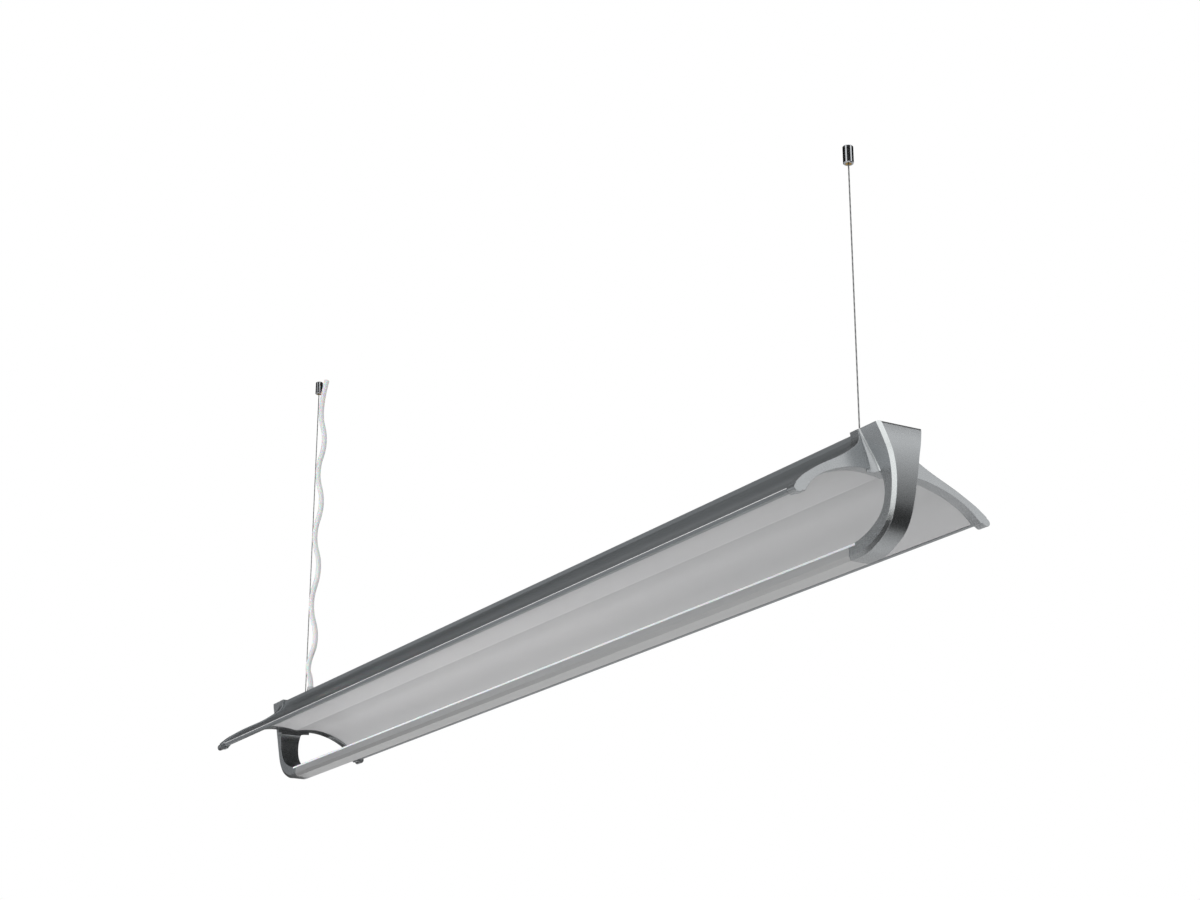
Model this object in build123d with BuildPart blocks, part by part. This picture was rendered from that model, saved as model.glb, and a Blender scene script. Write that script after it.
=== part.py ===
"""Suspended uplight pendant: a gull-wing housing over a slim LED keel.

The lamp hangs level on two steel wires.  A thin extruded housing spreads two
wings over a slim LED rail.  The rail throws its light up onto two curved
reflectors.  A cast cap closes each end of the housing, and a cast arm sweeps
from each cap down into the rail.

Frame: the origin is the top centre of the far ceiling gripper, +Z is up, +X
runs along the lamp towards the near end, and +Y runs across it.  Sizes are in
millimetres.  Heights inside the lamp are measured down from the block tops.
"""
import os
from math import atan2, cos, degrees, hypot, radians, sin, tan

from build123d import *

os.makedirs("parts", exist_ok=True)

# Overall layout
lamp_length = 1240.0        # from block face to block face, at the top
wire_inset = 50.0           # each wire from its block face
far_hang = 420.0            # far gripper top above the block tops
near_hang = 265.0           # near gripper top above the block tops

# Housing section
spine_half = 20.5           # half width of the flat top
spine_drop = 2.0            # the flat top lies this far below the block tops
spine_side = 4.0            # straight side below the flat top
wing_half = 91.4            # half width over the lips
lip_bottom = 63.1           # lip's lower edge below the block tops
lip_face = 3.6              # height of the lip's outer face
lip_width = 3.8             # width of the solid lip bead
ridge_drop = 35.3           # middle ridge between the two reflectors
reflector_sheet = 0.8
sheet_gap = 0.2             # clearance between reflector and housing
channel_half = 17.5         # gear channel inside the spine
channel_floor = 29.5
wall_thick = 2.0            # wall around the hollow chamber of each wing
chamber_top = 13.0          # chamber's top corner below the block tops
ledge_in = 2.5              # the cover rests on ledges this wide
ledge_thick = 1.6
cover_thick = 1.5
cover_gap = 0.25
screw_port_out = 11.9       # two screw ports stand on the channel's floor
screw_port_up = 3.2
screw_port_wall = 1.5
cap_screw_d = 3.5
cap_screw_head_d = 5.6
cap_screw_head_h = 2.4
cap_screw_length = 14.0
cap_screw_seat = 17.8       # under the head, behind the block face
arm_screw_drops = (10.5, 23.5)
arm_screw_length = 16.0
spot_deep = 0.6             # spot face sunk in the pocket floor

# End caps
cap_proud = 2.0             # the cap stands this far outside the housing
cap_depth = 10.5            # thickness along the lamp
cap_floor = 5.2             # web left in front of the pocket
cap_setback = 9.3           # wing tip's face behind the block face
cap_lean = 0.22             # the cap's face leans back by this slope
tip_drop = 63.2             # middle of the rounded wing tip
tip_radius = 3.7
pocket_gap = 0.3

# Seam between cap and arm, with a small groove along it
seam_groove = 1.0
neck_flare = 8.0            # the neck's foot is this much wider on the cap's face
seam_top = 23.2             # seam's place at the block top
seam_bottom = 10.0          # seam's place at the top of the end opening
opening_top = 37.6          # underside of the neck, below the block top

# End arms
# Half width over the arm's side faces, at each depth below the block top
arm_widths = [(0, 22.0), (8, 20.1), (16, 17.9), (24, 15.6), (34, 13.7), (46, 12.2), (62, 11.2), (76, 11.0)]
neck_widths = arm_widths[:5] + [(opening_top, 13.2)]
neck_sunk = 1.0             # the neck's foot reaches this deep into the cap
block_round = 3.0
arm_bulge = 8.3             # arm's outermost point past the block face
arm_bulge_drop = 32.0
arm_top_lead = 3.2          # block's top edge past the block face
arm_inner = 6.2             # innermost hollow of the arm behind the block face
arm_inner_drop = 50.0
arm_edge_in = 2.2           # long edge bevel, measured across
arm_edge_deep = 3.6         # and measured from the outer face
arm_reach = 56.0            # the rail starts this far behind the block face

# LED rail and lens
rail_half = 11.0
rail_top = 87.6
rail_bottom = 98.2
rail_bevel_in = 2.2
rail_bevel_up = 3.7
rail_wall = 1.9
rail_floor = 2.4
lens_proud = 2.1
lens_reach = 47.5           # lens end behind the block face
lens_leg = 1.0
lens_leg_deep = 3.0
lens_edge = 0.7
joint_gap = 0.3
tongue_length = 14.0
tongue_height = 6.0
board_thick = 1.6
board_half = 7.6
board_count = 4
board_gap = 1.0
led_side = 3.0
led_height = 0.7
led_pitch = 14.0
rail_screw_d = 3.0
rail_screw_head_d = 5.6
rail_screw_head_h = 1.2
rail_screw_bite = 1.4        # depth of the screw in the rail's floor

# Gear in the channel
driver_length = 380.0
driver_width = 28.0
driver_height = 16.0
driver_start = 620.0        # driver's near end, measured from the far wire
spring_length = 14.0        # flat springs wedge the driver under the ledges
terminal_length = 34.0
terminal_width = 26.0
terminal_height = 13.0
terminal_at = 60.0          # middle, measured from the far wire
terminal_poles = 5

# Suspension
wire_d = 1.2
gripper_d = 9.2
gripper_length = 16.2
gripper_edge = 0.6
thread_r = 2.0
thread_length = 6.0
jaw_d = 5.4
jaw_length = 7.5
jaw_gap = 0.15
anchor_flange_d = 10.0
anchor_flange_h = 2.0
anchor_shank_d = 6.0
anchor_shank = 8.0
anchor_nut_d = 10.0
bridge_length = 18.0
bridge_thick = 2.5
stop_d = 4.0
stop_length = 5.0
bore_gap = 0.15

# Supply cable and its gland
cable_d = 6.5
cable_top = 417.7          # flush-cut upper end above the block tops
gland_offset = 16.0         # gland behind the far wire, towards the near end
gland_hex = 12.0
gland_hex_h = 4.0
gland_dome_d = 10.8
gland_dome_h = 10.0
gland_shank_d = 8.6
gland_nut_h = 3.0

# Places worked out from the sizes above
block_top = -far_hang
near_face = lamp_length - wire_inset
far_face = -wire_inset
middle_x = (near_face + far_face) / 2
near_wire = lamp_length - 2 * wire_inset
spine_top = block_top - spine_drop
lip_inner = wing_half - lip_width
lean_angle = degrees(atan2(cap_lean, 1.0))
middle_plane = Plane.YZ.offset(middle_x)
side_plane = Plane.XZ
port_top = block_top - channel_floor + screw_port_up + cap_screw_d / 2 + screw_port_wall
ledge_under = spine_top - cover_thick - ledge_thick


def near_side(behind, below):
    """A point of the lamp's side view, from the near block's top corner."""
    return (near_face - behind, block_top - below)


def cross(out, below):
    """A point of the lamp's cross section."""
    return (out, block_top - below)


def upper_point(share_out, share_down):
    """A point on the wing's upper curve, between the spine and the lip."""
    start_down = spine_drop + spine_side
    end_down = lip_bottom - lip_face
    out = spine_half + share_out * (wing_half - spine_half)
    return cross(out, start_down + share_down * (end_down - start_down))


def under_point(share_out, share_down, lift=0.0):
    """A point on the reflector's lower curve, between the ridge and the lip."""
    end_down = lip_bottom - 0.7
    out = share_out * (lip_inner - sheet_gap)
    down = ridge_drop + share_down * (end_down - ridge_drop)
    return cross(out, down - lift)


UPPER_SHARES = [(0, 0), (0.125, 0.25), (0.29, 0.4), (0.476, 0.535), (0.658, 0.665), (0.829, 0.81), (1, 1)]
UNDER_SHARES = [(0, 0), (0.16, -0.074), (0.32, -0.085), (0.55, 0.06), (0.767, 0.355), (0.892, 0.635), (1, 1)]


def moved_out(points, amount, first, last):
    """The inner points moved to the left of their travel, between given ends."""
    moved = [first]
    for before, point, after in zip(points, points[1:], points[2:]):
        run = (after[0] - before[0], after[1] - before[1])
        share = amount / hypot(*run)
        moved.append((point[0] - run[1] * share, point[1] + run[0] * share))
    return moved + [last]


def wing_outline(lift=0.0, proud=0.0):
    """Right half of the wing's outline, its underside raised, all of it proud."""
    top = spine_top + proud
    outer = wing_half + proud
    inner = lip_inner - proud
    bottom = block_top - lip_bottom - proud
    upper = [upper_point(*share) for share in UPPER_SHARES]
    upper = moved_out(upper, proud, (spine_half + proud, upper[0][1]), (outer, upper[-1][1] + proud / 2))
    under = [under_point(*share, lift=lift) for share in UNDER_SHARES]
    under_end = (inner - sheet_gap, under[-1][1] - proud)
    under = moved_out(under, -proud, (0, under[0][1] - proud), under_end)
    with BuildLine() as line:
        Line((0, top), (spine_half + proud, top))
        Line((spine_half + proud, top), upper[0])
        Spline(*upper, tangents=[(0.12, -1), (0.72, -0.69)])
        Polyline(upper[-1], (outer, bottom), (inner, bottom), (inner, under_end[1]), under_end)
        Spline(*under)
    return line.line


def end_plane(behind):
    """The leaning plane of the near cap's face, moved back by behind."""
    tip = near_side(cap_setback + behind, tip_drop)
    return Plane(origin=(tip[0], 0, tip[1]), z_dir=(cos(radians(lean_angle)), 0, sin(radians(lean_angle))))


def mirrored_end(behind):
    """The same plane at the far end."""
    tip = near_side(cap_setback + behind, tip_drop)
    return Plane(
        origin=(2 * middle_x - tip[0], 0, tip[1]),
        z_dir=(-cos(radians(lean_angle)), 0, sin(radians(lean_angle))),
    )


def seam_behind(below):
    """How far behind the block face the seam lies at a given depth."""
    return seam_top - (seam_top - seam_bottom) * below / opening_top


def face_behind(below):
    """How far behind the block face the leaning cap face lies at a given depth."""
    return cap_setback + cap_lean * (tip_drop - below)


def chamber_corners():
    """Corners of the hollow chamber inside the right wing."""
    lift = reflector_sheet + sheet_gap + wall_thick
    corners = [cross(spine_half, chamber_top)]
    for share_out, share_down in UPPER_SHARES[1:3]:
        out, height = upper_point(share_out, share_down)
        corners.append((out, height - 1.25 * wall_thick))
    corners.append(under_point(0.4, -0.055, lift=lift))
    corners.append(under_point(*UNDER_SHARES[2], lift=lift))
    corners.append((spine_half, corners[-1][1]))
    return corners


def off_seam(face):
    """How far a face's centre lies from the seam's plane."""
    centre = face.center()
    return abs(near_face - centre.X - seam_behind(block_top - centre.Z))


body_start = end_plane(cap_floor + pocket_gap)
body_end = mirrored_end(cap_floor + pocket_gap)


def cut_ends():
    """Trim the part in hand to the leaning planes inside the two caps."""
    split(bisect_by=body_start, keep=Keep.BOTTOM)
    split(bisect_by=body_end, keep=Keep.BOTTOM)


# The housing: one thin extrusion with a gear channel in its spine
with BuildPart() as wing_housing:
    with BuildSketch(Plane.YZ.offset(far_face)):
        with BuildLine():
            add(wing_outline(reflector_sheet + sheet_gap))
            mirror(about=Plane.YZ)
        make_face()
        with BuildLine():
            Polyline(
                cross(channel_half, channel_floor),
                cross(channel_half, spine_drop + cover_thick + ledge_thick),
                cross(channel_half - ledge_in, spine_drop + cover_thick + ledge_thick),
                cross(channel_half - ledge_in, spine_drop + cover_thick),
                cross(channel_half, spine_drop + cover_thick),
                cross(channel_half, spine_drop),
                cross(-channel_half, spine_drop),
                cross(-channel_half, spine_drop + cover_thick),
                cross(-channel_half + ledge_in, spine_drop + cover_thick),
                cross(-channel_half + ledge_in, spine_drop + cover_thick + ledge_thick),
                cross(-channel_half, spine_drop + cover_thick + ledge_thick),
                cross(-channel_half, channel_floor),
                close=True,
            )
        make_face(mode=Mode.SUBTRACT)
        chamber = chamber_corners()
        with BuildLine():
            Polyline(*chamber, close=True)
        make_face(mode=Mode.SUBTRACT)
        with BuildLine():
            Polyline(*[(-out, height) for out, height in chamber], close=True)
        make_face(mode=Mode.SUBTRACT)
        for side in (-1, 1):
            with Locations(cross(side * screw_port_out, channel_floor - screw_port_up)):
                Circle(cap_screw_d / 2 + screw_port_wall)
            with Locations(cross(side * screw_port_out, channel_floor - screw_port_up)):
                Circle(cap_screw_d / 2 + bore_gap, mode=Mode.SUBTRACT)
    extrude(amount=lamp_length)
    cut_ends()
wing_housing.part.label = "wing_housing"
export_step(wing_housing.part, "parts/wing_housing.step")


# The reflectors: two bent sheets that lie under the wings and meet at the ridge
def reflector(side):
    """One curved sheet, cut to the same leaning ends as the housing."""
    lower = [under_point(*share) for share in UNDER_SHARES]
    upper = [under_point(*share, lift=reflector_sheet) for share in UNDER_SHARES]
    with BuildPart() as sheet:
        with BuildSketch(Plane.YZ.offset(far_face)):
            with BuildLine():
                Spline(*lower)
                Line(lower[-1], upper[-1])
                Spline(*upper)
                Line(upper[0], lower[0])
            make_face()
            if side < 0:
                mirror(about=Plane.YZ, mode=Mode.REPLACE)
        extrude(amount=lamp_length)
        cut_ends()
    return sheet.part


for side, name in ((-1, "left_reflector"), (1, "right_reflector")):
    sheet = reflector(side)
    sheet.label = name
    export_step(sheet, f"parts/{name}.step")

# The gear channel's cover strip, with holes for the two anchors and the gland
with BuildPart() as spine_cover:
    with BuildSketch(Plane.XY.offset(spine_top)):
        with Locations((middle_x, 0)):
            Rectangle(lamp_length, 2 * (channel_half - cover_gap))
        with Locations((0, 0), (near_wire, 0)):
            Circle(anchor_shank_d / 2 + bore_gap, mode=Mode.SUBTRACT)
        with Locations((gland_offset, 0)):
            Circle(gland_shank_d / 2 + bore_gap, mode=Mode.SUBTRACT)
    extrude(amount=-cover_thick)
    cut_ends()
spine_cover.part.label = "spine_cover"
export_step(spine_cover.part, "parts/spine_cover.step")


def near_screw_plane(behind, out, below):
    """A plane under a screw's head; the head stands out of it."""
    place = near_side(behind, below)
    return Plane(origin=(place[0], out, place[1]), z_dir=(1, 0, 0))


rail_screw_at = near_side(arm_reach + tongue_length / 2, rail_bottom - rail_floor - sheet_gap - tongue_height)
rail_screw_plane = Plane(origin=(rail_screw_at[0], 0, rail_screw_at[1]))
rail_screw_plane_far = Plane(origin=(2 * middle_x - rail_screw_at[0], 0, rail_screw_at[1]))
cap_screw_below = channel_floor - screw_port_up
cap_screw_places = [
    near_screw_plane(cap_screw_seat, side * screw_port_out, cap_screw_below) for side in (-1, 1)
]
arm_screw_places = [
    near_screw_plane(face_behind(below) + cap_floor - spot_deep, 0, below) for below in arm_screw_drops
]

# The near end cap: a wing plate with a rounded tip each side, a pocket for the
# housing's end and a short neck that carries the arm
with BuildPart() as cap_pocket:
    with BuildSketch(Plane.YZ.offset(near_face - arm_reach)):
        with BuildLine():
            add(wing_outline(proud=sheet_gap))
            mirror(about=Plane.YZ)
        make_face()
    extrude(amount=arm_reach)
    split(bisect_by=end_plane(cap_floor), keep=Keep.BOTTOM)


def arm_front():
    """Right half of the arm seen from the end: wide at the block, slim at the rail."""
    points = [cross(half, below) for below, half in arm_widths]
    foot = cross(rail_half, rail_bottom + arm_edge_in)
    with BuildLine() as line:
        Line((0, points[0][1]), points[0])
        Spline(*points, tangents=[(-0.12, -1), (0, -1)])
        Line(points[-1], foot)
        Line(foot, (0, foot[1]))
    return line.line


def leaning_plane(behind, slope):
    """A plane across the lamp that leaves the block top at a given place."""
    return Plane(origin=(near_face - behind, 0, block_top), x_dir=(0, 1, 0), z_dir=(1, 0, slope))


# The neck grows wider from the seam to the cap's face, in a hollow sweep
seam_slope = (seam_top - seam_bottom) / opening_top
neck_root = face_behind(0) + neck_sunk
with BuildPart() as neck:
    for depth_share, flare_share in ((0, 0), (0.5, 0.2), (1, 1)):
        behind = seam_top + depth_share * (neck_root - seam_top)
        slope = seam_slope + depth_share * (cap_lean - seam_slope)
        stretch = hypot(1, slope)
        spots = []
        for below, half in neck_widths:
            spots.append((half + neck_flare * flare_share * below / opening_top, -below * stretch))
        with BuildSketch(leaning_plane(behind, slope)):
            with BuildLine():
                Line((0, spots[0][1]), spots[0])
                Spline(*spots)
                Line(spots[-1], (0, spots[-1][1]))
                mirror(about=Plane.YZ)
            make_face()
    loft()

with BuildPart() as near_end_cap:
    with BuildSketch(Plane.YZ.offset(near_face - arm_reach)):
        with BuildLine():
            add(wing_outline(proud=cap_proud))
            mirror(about=Plane.YZ)
        make_face()
        with Locations(cross(wing_half + cap_proud - 1.5, tip_drop), cross(1.5 - wing_half - cap_proud, tip_drop)):
            Circle(tip_radius)
    extrude(amount=arm_reach + arm_bulge)
    split(bisect_by=end_plane(0), keep=Keep.BOTTOM)
    split(bisect_by=end_plane(cap_depth), keep=Keep.TOP)
    add(neck.part)
    with BuildSketch(side_plane):
        with BuildLine():
            Polyline(
                near_side(seam_behind(-2), -2),
                near_side(seam_behind(opening_top), opening_top),
                near_side(-arm_bulge, opening_top),
                near_side(-arm_bulge, -2),
                close=True,
            )
        make_face()
    extrude(amount=spine_half + 2 * cap_proud, both=True, mode=Mode.SUBTRACT)
    add(cap_pocket.part, mode=Mode.SUBTRACT)
    for place in cap_screw_places:
        with BuildSketch(place):
            Circle(cap_screw_head_d / 2 + bore_gap)
        extrude(amount=arm_reach, mode=Mode.SUBTRACT)
        with BuildSketch(place):
            Circle(cap_screw_d / 2 + bore_gap)
        extrude(amount=-arm_reach, mode=Mode.SUBTRACT)
    for place in arm_screw_places:
        with BuildSketch(place):
            Circle(cap_screw_d / 2 + bore_gap)
        extrude(amount=arm_reach, mode=Mode.SUBTRACT)
        with BuildSketch(place):
            Circle(cap_screw_head_d / 2 + 2 * bore_gap)
        extrude(amount=-cap_depth, mode=Mode.SUBTRACT)


def write_pair(near_part, name):
    """Write a near-end piece and its mirror image at the far end."""
    near_part.label = f"near_{name}"
    export_step(near_part, f"parts/near_{name}.step")
    far_part = mirror(near_part, about=middle_plane)
    far_part.label = f"far_{name}"
    export_step(far_part, f"parts/far_{name}.step")


write_pair(near_end_cap.part, "end_cap")

# The near arm: a cast blade, block-wide above, that bulges and sweeps into the rail
lens_top = rail_top - lens_proud
arm_half = arm_widths[0][1]
tongue_half = rail_half - rail_wall - lens_leg - 3 * sheet_gap
with BuildPart() as near_arm:
    with BuildSketch(side_plane.offset(-arm_half)):
        with BuildLine():
            outer = Spline(
                near_side(-arm_top_lead, 0),
                near_side(-arm_bulge, arm_bulge_drop),
                near_side(-4.6, 60.3),
                near_side(8.6, 84.5),
                near_side(28, 95.0),
                near_side(arm_reach, rail_bottom),
                tangents=[(0.3, -1), (-1, 0)],
            )
            Line(outer @ 1, near_side(arm_reach, rail_top + joint_gap))
            Line(near_side(arm_reach, rail_top + joint_gap), near_side(lens_reach, rail_top + joint_gap))
            Line(near_side(lens_reach, rail_top + joint_gap), near_side(lens_reach, lens_top))
            inner = Spline(
                near_side(lens_reach, lens_top),
                near_side(27, 79.4),
                near_side(11.5, 67.5),
                near_side(arm_inner, arm_inner_drop),
                near_side(seam_behind(opening_top) - 1.2, opening_top + 1.4),
                tangents=[(1, 0.14), (-0.5, 1)],
            )
            Line(inner @ 1, near_side(seam_behind(opening_top), opening_top - 0.6))
            Line(
                near_side(seam_behind(opening_top), opening_top - 0.6),
                near_side(seam_behind(0), 0),
            )
            Line(near_side(seam_behind(0), 0), outer @ 0)
        make_face()
    extrude(amount=2 * arm_half)
    with BuildSketch(Plane.YZ.offset(near_face - arm_reach)):
        with BuildLine():
            add(arm_front())
            mirror(about=Plane.YZ)
        make_face()
    extrude(amount=2 * arm_reach, mode=Mode.INTERSECT)
    outer_face = faces().sort_by(Axis.X)[-1]
    long_edges = outer_face.edges().sort_by(lambda edge: edge.length)[-2:]
    chamfer(long_edges, length=arm_edge_in, length2=arm_edge_deep, reference=outer_face)
    seam_face = faces().sort_by(off_seam)[0]
    chamfer(seam_face.edges().sort_by(lambda edge: edge.length)[-2:], length=seam_groove)
    top_edges = edges().filter_by(lambda edge: edge.center().Z > block_top - 0.1)
    front_top = top_edges.sort_by(lambda edge: edge.center().X)[-1]
    fillet(front_top, radius=block_round)
    # The tongue that slides into the rail, with a hole for its screw
    with BuildSketch(Plane.YZ.offset(near_face - arm_reach)):
        with Locations(cross(0, rail_bottom - rail_floor - tongue_height / 2 - sheet_gap)):
            Rectangle(2 * tongue_half, tongue_height)
    extrude(amount=-tongue_length)
    for place in arm_screw_places:
        with BuildSketch(place):
            Circle(cap_screw_d / 2 + bore_gap)
        extrude(amount=arm_screw_length + bore_gap, mode=Mode.SUBTRACT)
    with BuildSketch(rail_screw_plane):
        Circle(rail_screw_d / 2 + bore_gap)
    extrude(amount=-rail_half, mode=Mode.SUBTRACT)
write_pair(near_arm.part, "end_arm")


# The LED rail: a bevelled channel, open upwards
rail_length = lamp_length - 2 * arm_reach - 2 * joint_gap
rail_start = Plane.YZ.offset(far_face + arm_reach + joint_gap)
rail_inner = rail_half - rail_wall
with BuildPart() as led_rail:
    with BuildSketch(rail_start):
        with BuildLine():
            Polyline(
                cross(-rail_half, rail_top),
                cross(-rail_half, rail_bottom - rail_bevel_up),
                cross(-rail_half + rail_bevel_in, rail_bottom),
                cross(rail_half - rail_bevel_in, rail_bottom),
                cross(rail_half, rail_bottom - rail_bevel_up),
                cross(rail_half, rail_top),
                cross(rail_inner, rail_top),
                cross(rail_inner, rail_bottom - rail_floor),
                cross(-rail_inner, rail_bottom - rail_floor),
                cross(-rail_inner, rail_top),
                close=True,
            )
        make_face()
    extrude(amount=rail_length)
    for place in (rail_screw_plane, rail_screw_plane_far):
        with BuildSketch(place):
            Circle(rail_screw_d / 2 + bore_gap)
        extrude(amount=-(tongue_height + sheet_gap + rail_screw_bite + bore_gap), mode=Mode.SUBTRACT)
led_rail.part.label = "led_rail"
export_step(led_rail.part, "parts/led_rail.step")

# The opal lens: a flat strip with softened edges and two snap legs
lens_length = lamp_length - 2 * lens_reach - 2 * joint_gap
leg_out = rail_inner - sheet_gap
with BuildPart() as opal_lens:
    with BuildSketch(Plane.YZ.offset(far_face + lens_reach + joint_gap)):
        with Locations(cross(0, rail_top - lens_proud / 2)):
            Rectangle(2 * rail_half, lens_proud)
    extrude(amount=lens_length)
    fillet(edges().filter_by(Axis.X).group_by(Axis.Z)[-1], radius=lens_edge)
    with BuildSketch(rail_start):
        for side in (-1, 1):
            with Locations(cross(side * (leg_out - lens_leg / 2), rail_top + lens_leg_deep / 2)):
                Rectangle(lens_leg, lens_leg_deep)
    extrude(amount=rail_length)
opal_lens.part.label = "opal_lens"
export_step(opal_lens.part, "parts/opal_lens.step")

# The LED boards, end to end on the rail's floor, each with its row of LEDs
board_room = rail_length - 2 * (tongue_length + 2 * joint_gap)
board_length = (board_room - (board_count + 1) * board_gap) / board_count
board_floor = block_top - rail_bottom + rail_floor
led_count = int((board_length - led_pitch / 2) // led_pitch)
first_board = middle_x - board_room / 2 + board_gap + board_length / 2
for index in range(board_count):
    board_middle = first_board + index * (board_length + board_gap)
    with BuildPart() as led_board:
        with BuildSketch(Plane.XY.offset(board_floor)):
            with Locations((board_middle, 0)):
                Rectangle(board_length, 2 * board_half)
        extrude(amount=board_thick)
        with BuildSketch(Plane.XY.offset(board_floor + board_thick)):
            with Locations((board_middle, 0)):
                with GridLocations(led_pitch, led_pitch, led_count, 1):
                    Rectangle(led_side, led_side)
        extrude(amount=led_height)
    led_board.part.label = f"led_board_{index + 1}"
    export_step(led_board.part, f"parts/led_board_{index + 1}.step")

# The LED driver on the two screw ports, and the flat springs that hold it there
driver_middle = driver_start - driver_length / 2
with BuildPart() as led_driver:
    with BuildSketch(Plane.XY.offset(port_top)):
        with Locations((driver_middle, 0)):
            Rectangle(driver_length, driver_width)
    extrude(amount=driver_height)
    fillet(edges().filter_by(Axis.X).group_by(Axis.Z)[-1], radius=2 * lens_edge)
led_driver.part.label = "led_driver"
export_step(led_driver.part, "parts/led_driver.step")

with BuildPart() as driver_springs:
    with BuildSketch(Plane.XY.offset(port_top + driver_height)):
        with Locations((driver_middle, 0)):
            with GridLocations(driver_length * 2 / 3, driver_width, 2, 1):
                Rectangle(spring_length, 2 * (channel_half - cover_gap))
    extrude(amount=ledge_under - port_top - driver_height)
driver_springs.part.label = "driver_springs"
export_step(driver_springs.part, "parts/driver_springs.step")

# The terminal block near the gland, with one screw well for each pole
with BuildPart() as terminal_block:
    with BuildSketch(Plane.XY.offset(port_top)):
        with Locations((terminal_at, 0)):
            Rectangle(terminal_length, terminal_width)
    extrude(amount=terminal_height)
    with BuildSketch(Plane.XY.offset(port_top + terminal_height)):
        with Locations((terminal_at, 0)):
            with GridLocations(terminal_length / terminal_poles, terminal_width, terminal_poles, 1):
                Circle(terminal_length / terminal_poles / 3)
    extrude(amount=-terminal_height / 2, mode=Mode.SUBTRACT)
    with BuildSketch(Plane.XZ.offset(terminal_width / 2)):
        with Locations((terminal_at, port_top + terminal_height / 4)):
            with GridLocations(terminal_length / terminal_poles, terminal_width, terminal_poles, 1):
                Circle(terminal_length / terminal_poles / 4)
    extrude(amount=-terminal_width / 3, mode=Mode.SUBTRACT)
terminal_block.part.label = "terminal_block"
export_step(terminal_block.part, "parts/terminal_block.step")


# The near cap's two screws, which reach into the housing's ports
with BuildPart() as near_cap_screws:
    for place in cap_screw_places:
        with BuildSketch(place):
            Circle(cap_screw_head_d / 2)
        extrude(amount=cap_screw_head_h)
        with BuildSketch(place):
            Circle(cap_screw_d / 2)
        extrude(amount=-cap_screw_length)
write_pair(near_cap_screws.part, "cap_screws")

# The near arm's two screws, driven from the channel through the cap
with BuildPart() as near_arm_screws:
    for place in arm_screw_places:
        with BuildSketch(place):
            Circle(cap_screw_head_d / 2)
        extrude(amount=-cap_screw_head_h)
        with BuildSketch(place):
            Circle(cap_screw_d / 2)
        extrude(amount=arm_screw_length)
write_pair(near_arm_screws.part, "arm_screws")

# The screw that pins the near arm's tongue in the rail
with BuildPart() as near_rail_screw:
    with BuildSketch(rail_screw_plane):
        Circle(rail_screw_head_d / 2)
    extrude(amount=rail_screw_head_h)
    with BuildSketch(rail_screw_plane):
        Circle(rail_screw_d / 2)
    extrude(amount=-(tongue_height + sheet_gap + rail_screw_bite))
write_pair(near_rail_screw.part, "rail_screw")


def gripper(wire_x, hang):
    """A turned ceiling gripper: threaded above, bored below for its jaw."""
    top = block_top + hang
    with BuildPart() as barrel:
        with BuildSketch(Plane.XY.offset(top)):
            with Locations((wire_x, 0)):
                Circle(gripper_d / 2)
        extrude(amount=-gripper_length)
        chamfer(edges().filter_by(GeomType.CIRCLE), length=gripper_edge)
        with BuildSketch(Plane.XY.offset(top)):
            with Locations((wire_x, 0)):
                Circle(thread_r)
        extrude(amount=-thread_length, mode=Mode.SUBTRACT)
        with BuildSketch(Plane.XY.offset(top - gripper_length)):
            with Locations((wire_x, 0)):
                Circle(jaw_d / 2 + jaw_gap)
        extrude(amount=jaw_length + jaw_gap, mode=Mode.SUBTRACT)
    return barrel.part


def gripper_jaw(wire_x, hang):
    """The jaw inside the gripper that bites on the wire."""
    with BuildPart() as jaw:
        with BuildSketch(Plane.XY.offset(block_top + hang - gripper_length)):
            with Locations((wire_x, 0)):
                Circle(jaw_d / 2)
                Circle(wire_d / 2 + bore_gap, mode=Mode.SUBTRACT)
        extrude(amount=jaw_length)
    return jaw.part


def suspension_wire(wire_x, hang):
    """A straight steel wire, from its stop in the spine up into the jaw."""
    low = spine_top - anchor_shank
    with BuildPart() as wire:
        with BuildSketch(Plane.XY.offset(low)):
            with Locations((wire_x, 0)):
                Circle(wire_d / 2)
        extrude(amount=block_top + hang - gripper_length + jaw_length - low)
    return wire.part


def wire_anchor(wire_x):
    """A flanged bush that leads the wire through the cover."""
    with BuildPart() as anchor:
        with BuildSketch(Plane.XY.offset(spine_top)):
            with Locations((wire_x, 0)):
                Circle(anchor_flange_d / 2)
        extrude(amount=anchor_flange_h)
        chamfer(edges().filter_by(GeomType.CIRCLE).group_by(Axis.Z)[-1], length=lens_edge)
        with BuildSketch(Plane.XY.offset(spine_top)):
            with Locations((wire_x, 0)):
                Circle(anchor_shank_d / 2)
        extrude(amount=-anchor_shank)
        with BuildSketch(Plane.XY.offset(spine_top - anchor_shank)):
            with Locations((wire_x, 0)):
                Circle(wire_d / 2 + bore_gap)
        extrude(amount=anchor_shank + anchor_flange_h, mode=Mode.SUBTRACT)
    return anchor.part


def anchor_bridge(wire_x):
    """A steel plate that hangs the channel's ledges from the bush."""
    with BuildPart() as bridge:
        with BuildSketch(Plane.XY.offset(ledge_under)):
            with Locations((wire_x, 0)):
                Rectangle(bridge_length, 2 * (channel_half - cover_gap))
                Circle(anchor_shank_d / 2 + bore_gap, mode=Mode.SUBTRACT)
        extrude(amount=-bridge_thick)
    return bridge.part


def anchor_nut(wire_x):
    """The nut that clamps bridge, ledges and cover under the bush's flange."""
    nut_top = ledge_under - bridge_thick
    with BuildPart() as nut:
        with BuildSketch(Plane.XY.offset(nut_top)):
            with Locations((wire_x, 0)):
                RegularPolygon(anchor_nut_d / 2, 6)
                Circle(anchor_shank_d / 2 + bore_gap, mode=Mode.SUBTRACT)
        extrude(amount=spine_top - anchor_shank - nut_top)
    return nut.part


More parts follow.
